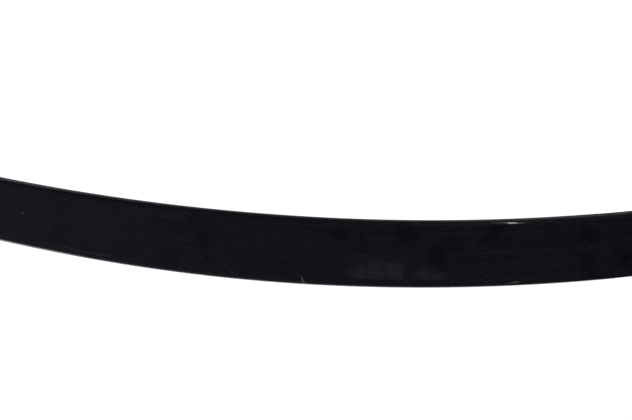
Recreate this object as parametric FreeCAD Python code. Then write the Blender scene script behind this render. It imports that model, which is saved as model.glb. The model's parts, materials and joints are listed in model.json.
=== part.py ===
"""Above-knee running leg: thigh socket, hydraulic knee, pylon and J-shaped carbon running blade.

Frame: +Z up, -Y forward (the way the toe points), -X lateral (a right leg).
Origin: middle of the flat patch where the tread touches the ground. Millimetres.
"""
import FreeCAD
import Part
import math
import os

V = FreeCAD.Vector
X, Y, Z = V(1, 0, 0), V(0, 1, 0), V(0, 0, 1)

# ---------------------------------------------------------------- driving dimensions
KNEE_HEIGHT = 500.0          # knee axis above the ground
SOCKET_LENGTH = 306.0        # thigh socket, closed end to lateral brim
FLEXION_STOP_GAP = 0.25      # nose to extension bumper at full extension

# Blade centre line: (arc radius, turn in degrees); a positive turn swings backwards
BLADE_TOP_STRAIGHT = 80.0
BLADE_ARCS = ((140.0, 28.0), (371.0, -23.0), (100.0, -79.0), (260.0, -27.0))
BLADE_T_TOP, BLADE_T_BOW, BLADE_T_TOE = 8.7, 12.0, 6.0
BLADE_THICKEST_AT = 215.7    # arc length from the top to the thickest laminate
BLADE_TAPER_DOWN = 270.0     # arc length from there to the constant toe thickness
BLADE_W_TOP, BLADE_W_TOE = 56.0, 72.0
BLADE_WIDEN_FROM, BLADE_WIDEN_TO = 285.0, 450.0
BLADE_EDGE_R = 0.5
TOE_CORNER_R = 24.0

MIDSOLE_T, TREAD_T = 5.0, 4.0
BOND = 0.05                  # glue line under the midsole and under the tread
SOLE_OVERHANG = 1.0
SOLE_EDGE_R = 1.2
GROUND_FLAT = 0.4            # depth of the flat patch cut into the tread's curve
SOLE_START_HEADING = -50.0   # blade heading in degrees where the midsole begins
TREAD_START_HEADING = -62.0

BLADE_BEHIND_KNEE = 34.0     # blade centre line at its top, behind the knee axis
PAD_T = 2.0
BRACKET_T, REAR_PLATE_T = 8.0, 4.0
BOLT_R, BOLT_HEAD_R, BOLT_HEAD_H = 4.0, 6.5, 8.0
WASHER_R, WASHER_T = 7.6, 1.2
BLADE_BOLT_X, BLADE_BOLT_PITCH = 14.0, 40.0

TUBE_R, TUBE_WALL = 15.0, 2.5
TUBE_FIT = 0.05              # radial clearance of the bracket, which turns on the pylon
CLAMP_R = 22.0
SLIT = 2.0

DRUM_R, DRUM_HALF = 24.0, 20.4
CHEEK_IN, CHEEK_OUT, CHEEK_R = 21.0, 28.5, 26.0
AXLE_R = 8.0
CHAMBER_R, CHAMBER_HALF = 17.0, 13.0
COVER_R = 20.0
NOSE_REACH = 36.0
COVER_IN_R, COVER_OUT_R = 39.5, 42.0

RECEIVER_R = 20.5
RECEIVER_TOP = 52.0          # above the knee axis
FLANGE_R, FLANGE_T = 31.0, 5.0
FOUR_HOLE_PITCH = 36.0
PLATE_R, PLATE_T = 32.0, 6.0
SHELL_T, INNER_T = 4.0, 2.5
INNER_PROUD = 9.0            # flexible inner socket above the rigid brim
DOME_R, DOME_H = 50.0, 56.0  # radius and height of the socket's rounded end
VALVE_HEIGHT = 52.0          # valve centre above the closed end
VALVE_R, VALVE_DEPTH = 13.0, 16.0
BUTTON_R, BUTTON_PRESS = 8.0, 2.5

# ---------------------------------------------------------------- small helpers


def box(x0, x1, y0, y1, z0, z1):
    return Part.makeBox(x1 - x0, y1 - y0, z1 - z0, V(x0, y0, z0))


def rod(p, axis, r, length):
    return Part.makeCylinder(r, length, p, axis)


def ring(p, axis, r_out, r_in, length):
    return rod(p, axis, r_out, length).cut(rod(p, axis, r_in, length))


def union(shapes):
    shapes = list(shapes)
    whole = shapes[0].multiFuse(shapes[1:]) if len(shapes) > 1 else shapes[0]
    return whole.removeSplitter()


def hex_socket(p, axis, across, depth):
    """A hexagonal key hole starting at p and going along axis."""
    hexagon = Part.makePolygon([V(across / math.sqrt(3) * math.cos(math.radians(60 * i)),
                                  across / math.sqrt(3) * math.sin(math.radians(60 * i)), 0)
                                for i in range(7)])
    prism = Part.Face(hexagon).extrude(V(0, 0, depth))
    prism.Placement = FreeCAD.Placement(p, FreeCAD.Rotation(Z, axis))
    return prism


def cap_screw(p, axis, r, length, head_r, head_h):
    """Socket-head screw: p is under the head, axis points from the head to the tip."""
    head = rod(p - axis * head_h, axis, head_r, head_h)
    head = head.makeChamfer(0.6, [e for e in head.Edges
                                  if e.isClosed() and (e.CenterOfMass - (p - axis * head_h)).Length < 0.01])
    key = hex_socket(p - axis * (head_h + 0.01), axis, head_r * 0.9, head_h * 0.6)
    return union([head, rod(p, axis, r, length)]).cut(key)


PARTS = {}


def keep(name, *solids):
    PARTS[name] = solids[0] if len(solids) == 1 else Part.makeCompound(list(solids))


# ---------------------------------------------------------------- blade centre line

SEGMENTS = [(BLADE_TOP_STRAIGHT, 0.0)] + [
    (abs(math.radians(turn)) * radius, math.copysign(1 / radius, turn)) for radius, turn in BLADE_ARCS]
BLADE_LENGTH = sum(length for length, _ in SEGMENTS)


def path(s):
    """Centre line at arc length s from the top: offset back, offset up, heading from straight down."""
    y, z, heading = 0.0, 0.0, 0.0
    for length, bend in SEGMENTS:
        step = min(s, length)
        if bend:
            turned = heading + bend * step
            y += (math.cos(heading) - math.cos(turned)) / bend
            z -= (math.sin(turned) - math.sin(heading)) / bend
            heading = turned
        else:
            y += math.sin(heading) * step
            z -= math.cos(heading) * step
        s -= step
    return y, z, heading


def at_heading(degrees):
    """Arc length where the lower part of the blade reaches this heading."""
    s, heading = SEGMENTS[0][0] + SEGMENTS[1][0], math.radians(BLADE_ARCS[0][1])
    for length, bend in SEGMENTS[2:]:
        left = (math.radians(degrees) - heading) / bend
        if left <= length + 1e-9:
            return s + left
        s, heading = s + length, heading + bend * length
    raise ValueError(degrees)


def ramp(a, b, t):
    """Half a cosine wave from a at t=0 to b at t=1, flat outside."""
    t = min(max(t, 0.0), 1.0)
    return a + (b - a) * (1 - math.cos(math.pi * t)) / 2


def thickness(s):
    if s < BLADE_THICKEST_AT:
        rise = BLADE_THICKEST_AT - BLADE_TOP_STRAIGHT
        return ramp(BLADE_T_TOP, BLADE_T_BOW, (s - BLADE_TOP_STRAIGHT) / rise)
    return ramp(BLADE_T_BOW, BLADE_T_TOE, (s - BLADE_THICKEST_AT) / BLADE_TAPER_DOWN)


def half_width(s):
    half = ramp(BLADE_W_TOP, BLADE_W_TOE, (s - BLADE_WIDEN_FROM) / (BLADE_WIDEN_TO - BLADE_WIDEN_FROM)) / 2
    past = s - (BLADE_LENGTH - TOE_CORNER_R)
    if past > 0:
        half -= TOE_CORNER_R - math.sqrt(max(TOE_CORNER_R ** 2 - past ** 2, 0.0))
    return half


CONTACT_S = at_heading(-90.0)
CONTACT_Y, CONTACT_Z, _ = path(CONTACT_S)
BLADE_TOP_Y = -CONTACT_Y
BLADE_TOP_Z = -CONTACT_Z + thickness(CONTACT_S) / 2 + MIDSOLE_T + TREAD_T + 2 * BOND - GROUND_FLAT
KNEE_Y = BLADE_TOP_Y - BLADE_BEHIND_KNEE
KNEE = V(0, KNEE_Y, KNEE_HEIGHT)


def place(s, x, out):
    """A point at arc length s, sideways x and out from the centre line towards the back and the sole."""
    y, z, heading = path(s)
    return V(x, BLADE_TOP_Y + y + out * math.cos(heading), BLADE_TOP_Z + z + out * math.sin(heading))


def section(s, inner, outer, half, corner):
    """Rounded-rectangle wire across the blade path, between two offsets."""
    edges = []
    corners = [(half, inner), (half, outer), (-half, outer), (-half, inner)]
    for i, (cx, co) in enumerate(corners):
        nx, no = corners[(i + 1) % 4]
        dx, do = (nx > cx) - (nx < cx), (no > co) - (no < co)
        px, po = corners[i - 1]
        bx, bo = (px > cx) - (px < cx), (po > co) - (po < co)
        start = place(s, cx + bx * corner, co + bo * corner)
        end = place(s, cx + dx * corner, co + do * corner)
        bulge = corner * (1 - math.sqrt(0.5))
        middle = place(s, cx + (bx + dx) * bulge, co + (bo + do) * bulge)
        edges.append(Part.Arc(start, middle, end).toShape())
        edges.append(Part.LineSegment(end, place(s, nx - dx * corner, no - do * corner)).toShape())
    return Part.Wire(edges)


def strip(s0, s1, inner, outer, half, corner, pitch=12.0):
    """A curved strip along the blade path; inner, outer and half are functions of arc length."""
    toe_from = BLADE_LENGTH - TOE_CORNER_R
    body_to = min(s1, toe_from)
    count = max(2, round((body_to - s0) / pitch))
    stations = [s0 + (body_to - s0) * i / count for i in range(count + 1)]
    if s1 > toe_from:
        steps = 7
        stations += [toe_from + (s1 - toe_from) * math.sin(math.pi / 2 * i / steps)
                     for i in range(1, steps + 1)]
    wires = [section(s, inner(s), outer(s), half(s), corner) for s in stations]
    return Part.makeLoft(wires, True, False)


# ---------------------------------------------------------------- blade, sole


def make_blade():
    curved = strip(BLADE_TOP_STRAIGHT, BLADE_LENGTH, lambda s: -thickness(s) / 2, lambda s: thickness(s) / 2,
                   half_width, BLADE_EDGE_R)
    flat = Part.makeLoft([section(s, -BLADE_T_TOP / 2, BLADE_T_TOP / 2, BLADE_W_TOP / 2, BLADE_EDGE_R)
                          for s in (0.0, BLADE_TOP_STRAIGHT)], True, True)
    blade = union([flat, curved])
    for x, z in blade_bolts():
        blade = blade.cut(rod(V(x, BLADE_TOP_Y - 20, z), Y, BOLT_R + 0.25, 40))
    keep("blade", blade)


def blade_bolts():
    middle = BLADE_TOP_Z - BLADE_TOP_STRAIGHT / 2 - 2
    return [(x, middle + dz) for dz in (BLADE_BOLT_PITCH / 2, -BLADE_BOLT_PITCH / 2)
            for x in (-BLADE_BOLT_X, BLADE_BOLT_X)]


def make_sole():
    toe_end = BLADE_LENGTH - 1.0
    mid_start, tread_start = at_heading(SOLE_START_HEADING), at_heading(TREAD_START_HEADING)

    def layer(start, below, depth):
        """A layer on the blade's outer face, starting that far below and that deep."""
        return strip(start, toe_end, lambda s: thickness(s) / 2 + below,
                     lambda s: thickness(s) / 2 + below + depth,
                     lambda s: half_width(s) + SOLE_OVERHANG, SOLE_EDGE_R)

    midsole = layer(mid_start, BOND, MIDSOLE_T)
    tread_below = MIDSOLE_T + 2 * BOND
    tread = layer(tread_start, tread_below, TREAD_T)
    groove_pitch, groove_r = 11.0, 1.3
    s = tread_start + groove_pitch
    while s < toe_end - groove_pitch / 2:
        if abs(s - CONTACT_S) > groove_pitch * 0.8:
            out = thickness(s) / 2 + tread_below + TREAD_T
            tread = tread.cut(rod(place(s, -60, out), X, groove_r, 120))
        s += groove_pitch
    tread = tread.cut(box(-60, 60, -80, 80, -10, 0))
    keep("midsole", midsole)
    keep("tread", tread)


# ---------------------------------------------------------------- blade clamp, pylon

PLATE_BACK = BLADE_TOP_Y - BLADE_T_TOP / 2 - PAD_T
BRACKET_TOP = BLADE_TOP_Z - 4.0
BRACKET_BOTTOM = BLADE_TOP_Z - BLADE_TOP_STRAIGHT + 4.0
LOWER_CLAMP = (BLADE_TOP_Z - 64.0, BLADE_TOP_Z - 24.0)
KNEE_CLAMP = (BRACKET_TOP + 4.0, BRACKET_TOP + 31.0)


def split_clamp(z0, z1, bore_r, ear_screws):
    """A slit ring round the pylon with two ears in front, and its screws."""
    ears = box(-9, 9, KNEE_Y - CLAMP_R - 9, KNEE_Y - TUBE_R - 3, z0 + 3, z1 - 3)
    solid = union([rod(V(0, KNEE_Y, z0), Z, CLAMP_R, z1 - z0), ears])
    solid = solid.cut(rod(V(0, KNEE_Y, z0), Z, bore_r, z1 - z0))
    solid = solid.cut(box(-SLIT / 2, SLIT / 2, KNEE_Y - CLAMP_R - 20, KNEE_Y - 1, z0, z1))
    screws = []
    for z in ear_screws:
        p = V(-9, KNEE_Y - CLAMP_R - 4.2, z)
        solid = solid.cut(rod(p, X, 2.7, 30))
        screws.append(cap_screw(p, X, 2.5, 22, 4.3, 5.0))
    return solid, screws


def clamp_nuts(ear_screws):
    return [ring(V(9, KNEE_Y - CLAMP_R - 4.2, z), X, 4.2, 2.5, 3.6) for z in ear_screws]


def make_bracket():
    z0, z1 = LOWER_CLAMP
    screw_z = [z0 + 11, z1 - 11]
    clamp, screws = split_clamp(z0, z1, TUBE_R + TUBE_FIT, screw_z)
    plate = box(-26, 26, PLATE_BACK - BRACKET_T, PLATE_BACK, BRACKET_BOTTOM, BRACKET_TOP)
    plate = plate.makeFillet(6, [e for e in plate.Edges
                                 if abs(e.tangentAt(e.FirstParameter).y) > 0.99])
    web = box(-15, 15, KNEE_Y + TUBE_R - 4, PLATE_BACK - 1, z0, z1)
    web = web.cut(rod(V(0, KNEE_Y, z0), Z, TUBE_R + TUBE_FIT, z1 - z0))
    bracket = union([clamp, plate, web])
    for x, z in blade_bolts():
        bracket = bracket.cut(rod(V(x, PLATE_BACK - 20, z), Y, BOLT_R, 30))
    keep("blade_bracket", bracket)
    keep("bracket_clamp_screws", *screws)
    keep("bracket_clamp_nuts", *clamp_nuts(screw_z))

    pad = box(-25, 25, PLATE_BACK, PLATE_BACK + PAD_T, BRACKET_BOTTOM + 1, BRACKET_TOP - 1)
    rear_y = BLADE_TOP_Y + BLADE_T_TOP / 2
    rear = box(-23, 23, rear_y, rear_y + REAR_PLATE_T, BRACKET_BOTTOM + 3, BRACKET_TOP - 3)
    rear = rear.makeFillet(7, [e for e in rear.Edges if abs(e.tangentAt(e.FirstParameter).y) > 0.99])
    rear = rear.cut(box(-6, 6, rear_y - 1, rear_y + 9, BRACKET_BOTTOM + 24, BRACKET_TOP - 24))
    head_y = rear_y + REAR_PLATE_T + WASHER_T
    bolts, washers = [], []
    for x, z in blade_bolts():
        pad = pad.cut(rod(V(x, PLATE_BACK - 1, z), Y, BOLT_R + 0.2, 9))
        rear = rear.cut(rod(V(x, rear_y - 1, z), Y, BOLT_R + 0.2, 9))
        washers.append(ring(V(x, head_y - WASHER_T, z), Y, WASHER_R, BOLT_R + 0.2, WASHER_T))
        grip = head_y - PLATE_BACK + BRACKET_T - 0.5
        bolts.append(cap_screw(V(x, head_y, z), -Y, BOLT_R, grip, BOLT_HEAD_R, BOLT_HEAD_H))
    keep("blade_pad", pad)
    keep("rear_clamp_plate", rear)
    keep("blade_bolts", *bolts)
    keep("blade_washers", *washers)
    tube_z = z0 - 2.0
    keep("pylon_tube", ring(V(0, KNEE_Y, tube_z), Z, TUBE_R, TUBE_R - TUBE_WALL, KNEE_CLAMP[1] - tube_z))


# ---------------------------------------------------------------- knee


def rel(y, z):
    """Point beside the knee axis, on the middle plane."""
    return KNEE + V(0, y, z)


def sector(r_out, r_in, half, a0, a1):
    """Ring sector about the knee axis from angle a0 to a1, in degrees from +Y towards +Z."""
    def at(r, degrees):
        a = math.radians(degrees)
        return KNEE + V(-half, r * math.cos(a), r * math.sin(a))
    middle = (a0 + a1) / 2
    outline = Part.Wire([Part.Arc(at(r_out, a0), at(r_out, middle), at(r_out, a1)).toShape(),
                         Part.LineSegment(at(r_out, a1), at(r_in, a1)).toShape(),
                         Part.Arc(at(r_in, a1), at(r_in, middle), at(r_in, a0)).toShape(),
                         Part.LineSegment(at(r_in, a0), at(r_out, a0)).toShape()])
    return Part.Face(outline).extrude(X * (2 * half))


def make_knee_head():
    """Upper knee part: oil drum, neck, extension nose and pyramid receiver. It belongs to the thigh."""
    top = KNEE_HEIGHT + RECEIVER_TOP
    drum = rod(KNEE - X * DRUM_HALF, X, DRUM_R, 2 * DRUM_HALF)
    neck = box(-17, 17, KNEE_Y - 16, KNEE_Y + 16, KNEE_HEIGHT + 10, KNEE_HEIGHT + 33)
    neck = neck.makeFillet(6, [e for e in neck.Edges if abs(e.tangentAt(e.FirstParameter).z) > 0.99])
    receiver = rod(V(0, KNEE_Y, KNEE_HEIGHT + 31), Z, RECEIVER_R, RECEIVER_TOP - 31)
    nose = box(-15, 15, KNEE_Y - NOSE_REACH, KNEE_Y - 8, KNEE_HEIGHT - 14, KNEE_HEIGHT + 2)
    nose = nose.makeFillet(4, [e for e in nose.Edges if abs(e.tangentAt(e.FirstParameter).x) > 0.99
                               and e.CenterOfMass.y < KNEE_Y - NOSE_REACH + 1])
    head = union([drum, neck, receiver, nose])
    head = head.cut(rod(KNEE - X * CHAMBER_HALF, X, CHAMBER_R, 2 * CHAMBER_HALF))
    for side in (-1, 1):
        head = head.cut(rod(KNEE + X * (side * CHAMBER_HALF), X * side, COVER_R, 20))
    barrier = sector(CHAMBER_R + 1, 12.2, CHAMBER_HALF, 326, 350)
    head = union([head, barrier])
    cavity = rod(V(0, KNEE_Y, KNEE_HEIGHT + 34), Z, 14.0, 30)
    seat = Part.makeCone(13.9, 20.1, 6.0, V(0, KNEE_Y, top - 2.0), Z)
    head = head.cut(cavity).cut(seat)
    screws = []
    face, z = 8.4, KNEE_HEIGHT + 43.0
    for i in range(4):
        axis = V(math.cos(math.pi / 2 * i), math.sin(math.pi / 2 * i), 0)
        outer = V(0, KNEE_Y, z) + axis * 19.6
        head = head.cut(rod(V(0, KNEE_Y, z) + axis * 10, axis, 4.0, 20))
        screw = rod(outer, -axis, 4.0, 19.6 - face - 1.6)
        tip = Part.makeCone(4.0, 2.0, 1.4, outer - axis * (19.6 - face - 1.6), -axis)
        screws.append(union([screw, tip]).cut(hex_socket(outer + axis * 0.01, -axis, 4.0, 4.0)))
    keep("knee_head", head)
    keep("pyramid_set_screws", *screws)


def make_pyramid():
    top = KNEE_HEIGHT + RECEIVER_TOP
    z0 = top + 4.0
    flange = rod(V(0, KNEE_Y, z0), Z, FLANGE_R, FLANGE_T)
    dome = Part.makeCone(13.7, 19.9, 6.0, V(0, KNEE_Y, top - 2.0), Z)
    square = []
    for z, half in ((top - 1.9, 6.6), (top - 16.0, 9.6)):
        square.append(Part.makePolygon([V(half * a, KNEE_Y + half * b, z)
                                        for a, b in ((1, 1), (-1, 1), (-1, -1), (1, -1), (1, 1))]))
    wedge = Part.makeLoft(square, True, True)
    adapter = union([flange, dome, wedge])
    plate = rod(V(0, KNEE_Y, z0 + FLANGE_T), Z, PLATE_R, PLATE_T)
    screws = []
    half = FOUR_HOLE_PITCH / 2
    for sx in (-1, 1):
        for sy in (-1, 1):
            p = V(sx * half, KNEE_Y + sy * half, z0)
            cone = Part.makeCone(5.6, 3.1, 2.6, p, Z)
            adapter = adapter.cut(rod(p, Z, 3.1, 10)).cut(cone)
            plate = plate.cut(rod(p, Z, 3.0, 20))
            screw = union([Part.makeCone(5.4, 3.0, 2.5, p + Z * 0.1, Z), rod(p + Z * 0.1, Z, 3.0, 10.4)])
            screws.append(screw.cut(hex_socket(p, Z, 3.5, 2.0)))
    keep("pyramid_adapter", adapter)
    keep("socket_end_plate", plate)
    keep("adapter_screws", *screws)
    return z0 + FLANGE_T + PLATE_T


def make_damper():
    """Inside the drum: covers, bushes and seals stay with the thigh, axle and vane turn with the shin."""
    covers, bushes, seals = [], [], []
    for side in (-1, 1):
        a = X * side
        covers.append(ring(KNEE + a * CHAMBER_HALF, a, COVER_R, AXLE_R + 2.5, DRUM_HALF - CHAMBER_HALF))
        seals.append(ring(KNEE + a * CHAMBER_HALF, a, AXLE_R + 2.5, AXLE_R + 0.05, 1.4))
        bushes.append(ring(KNEE + a * (CHAMBER_HALF + 1.5), a, AXLE_R + 2.5, AXLE_R + 0.05,
                           DRUM_HALF - CHAMBER_HALF - 1.6))
    keep("damper_covers", *covers)
    keep("axle_seals", *seals)
    keep("axle_bushes", *bushes)
    hub = ring(KNEE - X * 12.8, X, 12.0, AXLE_R, 25.6)
    wing = sector(CHAMBER_R - 0.2, 11.0, 12.8, 88, 112)
    keep("damper_vane", union([hub, wing]))
    axle = rod(KNEE - X * CHEEK_OUT, X, AXLE_R, 2 * CHEEK_OUT)
    for side in (-1, 1):
        axle = axle.cut(rod(KNEE + X * (side * (CHEEK_OUT - 12)), X * side, 3.0, 13))
    keep("knee_axle", axle)
    caps = []
    for side in (-1, 1):
        a = X * side
        cap = rod(KNEE + a * CHEEK_OUT, a, 13.0, 3.0)
        cap = cap.makeFillet(1.5, [e for e in cap.Edges if e.isClosed()
                                   and abs(abs(e.CenterOfMass.x) - CHEEK_OUT - 3.0) < 0.01])
        cap = union([cap, rod(KNEE + a * (CHEEK_OUT - 10), a, 3.0, 10)])
        caps.append(cap.cut(hex_socket(KNEE + a * (CHEEK_OUT + 3.01), -a, 5.0, 2.4)))
    keep("axle_caps", *caps)


def make_knee_frame():
    z0, z1 = KNEE_CLAMP
    cheeks = []
    for side in (-1, 1):
        x0, x1 = sorted((side * CHEEK_IN, side * CHEEK_OUT))
        head = rod(V(x0, KNEE_Y, KNEE_HEIGHT), X, CHEEK_R, x1 - x0)
        outline = Part.makePolygon([rel(-CHEEK_R, 0), rel(CHEEK_R, 0), rel(20, z1 - KNEE_HEIGHT),
                                    rel(-20, z1 - KNEE_HEIGHT), rel(-CHEEK_R, 0)])
        leg = Part.Face(outline).extrude(X * (x1 - x0))
        leg.translate(X * x0)
        cheeks += [head, leg]
    bridge_top = KNEE_HEIGHT - 38
    bridge = box(-CHEEK_OUT, CHEEK_OUT, KNEE_Y - 20, KNEE_Y + 20, z1, bridge_top)
    bridge = bridge.makeFillet(5, [e for e in bridge.Edges if abs(e.tangentAt(e.FirstParameter).z) > 0.99])
    front = box(-CHEEK_OUT, CHEEK_OUT, KNEE_Y - 40, KNEE_Y - 19.9, z1 + 1, KNEE_HEIGHT - 24)
    front = front.common(rod(KNEE - X * CHEEK_OUT, X, COVER_IN_R, 2 * CHEEK_OUT))
    front = front.cut(rod(KNEE - X * CHEEK_IN, X, 27.0, 2 * CHEEK_IN))
    clamp, screws = split_clamp(z0, z1, TUBE_R, [z0 + 13.5])
    frame = union([*cheeks, bridge, front, clamp])
    frame = frame.cut(rod(KNEE - X * 40, X, AXLE_R + 0.01, 80))
    frame = frame.cut(rod(V(0, KNEE_Y, z0), Z, TUBE_R, z1 - z0))
    screw_z = KNEE_HEIGHT - 31.0
    seat_y = KNEE_Y - math.sqrt(COVER_OUT_R ** 2 - (screw_z - KNEE_HEIGHT) ** 2) + 0.8
    seats = [V(side * 20.0, seat_y, screw_z) for side in (-1, 1)]
    for seat in seats:
        frame = frame.cut(rod(seat, Y, 2.0, 14)).cut(rod(seat, -Y, 4.0, 10))
    keep("knee_frame", frame)
    keep("knee_clamp_screw", *screws)
    keep("knee_clamp_nut", *clamp_nuts([z0 + 13.5]))

    bumper_base = KNEE_HEIGHT - 24
    bumper = box(-14, 14, KNEE_Y - 30.5, KNEE_Y - 22.0, bumper_base, KNEE_HEIGHT - 14 - FLEXION_STOP_GAP)
    bumper = bumper.cut(rod(KNEE - X * 20, X, DRUM_R + 1.0, 40))
    keep("extension_bumper", bumper)

    cover = sector(COVER_OUT_R, COVER_IN_R, CHEEK_OUT, 160, 232)
    for seat in seats:
        cover = cover.cut(rod(seat, Y, 2.2, 10)).cut(rod(seat, -Y, 4.0, 10))
    keep("knee_cover", cover)
    keep("knee_cover_screws", *[cap_screw(seat, Y, 2.0, 12, 3.8, 2.4) for seat in seats])


def make_dials():
    """Flexion and extension damping knobs on the outer side of the bridge."""
    z = KNEE_HEIGHT - 50.0
    frame = PARTS["knee_frame"]
    for name, y in (("extension_dial", -9.5), ("flexion_dial", 9.5)):
        p = V(-CHEEK_OUT - 0.3, KNEE_Y + y, z)
        frame = frame.cut(rod(p, X, 3.1, 12.5))
        knob = rod(p, -X, 7.0, 5.0)
        knob = knob.makeChamfer(1.0, [e for e in knob.Edges if e.isClosed() and e.CenterOfMass.x < p.x - 4.9])
        stem = rod(p, X, 3.0, 12.0)
        slot = box(p.x - 6, p.x - 3.4, p.y - 0.8, p.y + 0.8, z - 5.0, z + 5.0)
        knob = union([knob, stem]).cut(slot)
        for i in range(12):
            a = 2 * math.pi * i / 12
            knob = knob.cut(rod(p + V(0, 7.4 * math.cos(a), 7.4 * math.sin(a)), -X, 0.9, 5.0))
        keep(name, knob)
    keep("knee_frame", frame)


# ---------------------------------------------------------------- socket


def socket_half_axes(h, inset):
    """Half width across and half depth front to back, h above the closed end."""
    fill = min(h / DOME_H, 1.0)
    base = DOME_R * math.sqrt(1 - (1 - fill) ** 2)
    rise = h / SOCKET_LENGTH
    flare = 5.0 * max(rise - 0.8, 0.0) / 0.2
    return base + 21.0 * rise + flare - inset, base + 29.0 * rise + flare - inset


def socket_wire(h, z, inset):
    across, deep = socket_half_axes(h, inset)
    squareness, count, points = 2.35, 28, []
    for i in range(count):
        a = 2 * math.pi * i / count
        c, s = math.cos(a), math.sin(a)
        r = (abs(c / across) ** squareness + abs(s / deep) ** squareness) ** (-1 / squareness)
        points.append(V(r * c, KNEE_Y + r * s, z))
    curve = Part.BSplineCurve()
    curve.interpolate(Points=points, PeriodicFlag=True)
    return Part.Wire([curve.toShape()])


def socket_solid(z_end, inset, from_h):
    """The closed socket form, inset from its outside, starting at height from_h."""
    dome_steps, wall_steps, above = 5, 9, 24.0
    start = math.acos(1 - from_h / DOME_H)
    turn = (math.pi / 2 - start) / dome_steps
    dome = [DOME_H * (1 - math.cos(start + turn * i)) for i in range(dome_steps)]
    wall = [DOME_H + (SOCKET_LENGTH + above - DOME_H) * i / wall_steps for i in range(wall_steps + 1)]
    return Part.makeLoft([socket_wire(h, z_end + h, inset) for h in dome + wall], True, False)


def trim_tool(z_end, above):
    """Everything above the brim line: high on the outer side, low on the inner side."""
    top = z_end + SOCKET_LENGTH + above
    points = [V(-110, -200, top), V(-60, -200, top - 1), V(0, -200, top - 16), V(60, -200, top - 33),
              V(110, -200, top - 35)]
    curve = Part.BSplineCurve()
    curve.interpolate(points)
    high = top + 80
    wire = Part.Wire([curve.toShape(),
                      Part.LineSegment(points[-1], V(110, -200, high)).toShape(),
                      Part.LineSegment(V(110, -200, high), V(-110, -200, high)).toShape(),
                      Part.LineSegment(V(-110, -200, high), points[0]).toShape()])
    return Part.Face(wire).extrude(V(0, 500, 0))


def make_socket(z_plate_top):
    z_end = z_plate_top - 1.8
    outer = socket_solid(z_end, 0.0, 1.8)
    middle = socket_solid(z_end, SHELL_T, 6.5)
    inner = socket_solid(z_end, SHELL_T + INNER_T, 9.5)
    valve_z = z_end + VALVE_HEIGHT
    wall_x = socket_half_axes(VALVE_HEIGHT, 0.0)[0]
    boss = rod(V(-wall_x - 2.0, KNEE_Y, valve_z), X, 19.0, 14.0)
    bore = rod(V(-wall_x - 30, KNEE_Y, valve_z), X, VALVE_R + BOND, 60)
    fairing = Part.makeCone(PLATE_R, 46.0, 30.0, V(0, KNEE_Y, z_plate_top), Z)
    shell = union([outer, boss, fairing]).cut(middle).cut(trim_tool(z_end, 0.0)).cut(bore)
    liner = middle.cut(inner).cut(trim_tool(z_end, INNER_PROUD)).cut(bore)
    keep("socket_shell", shell)
    keep("inner_socket", liner)

    face = -wall_x - 2.0
    seat = V(face, KNEE_Y, valve_z)
    guide_r, stem_hole_r = BUTTON_R + 0.08, 3.0
    body = union([ring(seat, -X, 17.0, guide_r, 3.0), ring(seat, X, VALVE_R, guide_r, VALVE_DEPTH)])
    body = union([body, ring(seat + X * (VALVE_DEPTH - 4.0), X, VALVE_R, stem_hole_r, 4.0)])
    keep("valve_body", body)
    keep("valve_membrane", ring(seat + X * VALVE_DEPTH, X, 9.0, 1.2, 1.0))
    stem_length = VALVE_DEPTH - BUTTON_PRESS - 0.3
    button = union([rod(seat - X * 4.5, X, BUTTON_R, 8.0), rod(seat, X, 2.6, stem_length)])
    button = button.makeFillet(1.2, [e for e in button.Edges if e.isClosed()
                                     and abs(e.CenterOfMass.x - (face - 4.5)) < 0.01])
    keep("valve_button", button)


def main():
    make_blade()
    make_sole()
    make_bracket()
    make_knee_head()
    z_plate_top = make_pyramid()
    make_damper()
    make_knee_frame()
    make_dials()
    make_socket(z_plate_top)
    os.makedirs("parts", exist_ok=True)
    for old in os.listdir("parts"):
        os.remove(os.path.join("parts", old))
    for name, shape in PARTS.items():
        shape.exportStep("parts/" + name + ".step")
        print(name, len(shape.Solids), "solids", shape.isValid(), round(shape.Volume / 1000.0, 2), "cm3")
    print("knee y", KNEE_Y, "blade top", BLADE_TOP_Y, BLADE_TOP_Z, "length", BLADE_LENGTH)


main()
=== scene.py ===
"""Looks of the above-knee running leg: laid-up, moulded and foam pieces, materials, studio and camera.

Metres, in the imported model's frame: +Z up, -Y forward (the way the toe points), -X the outer side.
"""
import json
import math

import bmesh
import bpy
from mathutils import Matrix, Vector


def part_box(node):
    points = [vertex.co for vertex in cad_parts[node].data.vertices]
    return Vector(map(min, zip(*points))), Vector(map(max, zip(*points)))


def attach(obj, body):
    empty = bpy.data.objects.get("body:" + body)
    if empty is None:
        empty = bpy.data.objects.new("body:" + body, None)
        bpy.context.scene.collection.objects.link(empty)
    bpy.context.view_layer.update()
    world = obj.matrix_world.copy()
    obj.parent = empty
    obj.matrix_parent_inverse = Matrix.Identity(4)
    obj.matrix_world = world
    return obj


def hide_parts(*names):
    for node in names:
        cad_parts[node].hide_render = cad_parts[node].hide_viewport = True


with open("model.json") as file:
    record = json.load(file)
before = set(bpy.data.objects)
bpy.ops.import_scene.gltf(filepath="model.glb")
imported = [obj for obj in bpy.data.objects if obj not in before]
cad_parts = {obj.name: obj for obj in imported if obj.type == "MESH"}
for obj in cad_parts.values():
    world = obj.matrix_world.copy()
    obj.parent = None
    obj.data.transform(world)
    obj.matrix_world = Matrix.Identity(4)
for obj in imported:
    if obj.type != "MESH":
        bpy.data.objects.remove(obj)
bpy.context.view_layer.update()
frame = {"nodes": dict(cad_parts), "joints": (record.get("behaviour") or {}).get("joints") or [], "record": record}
NODES = frame["nodes"]
MM = 0.001
DIAGONAL = math.sqrt(0.5)

# ---------------------------------------------------------------- places read from the frame

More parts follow.
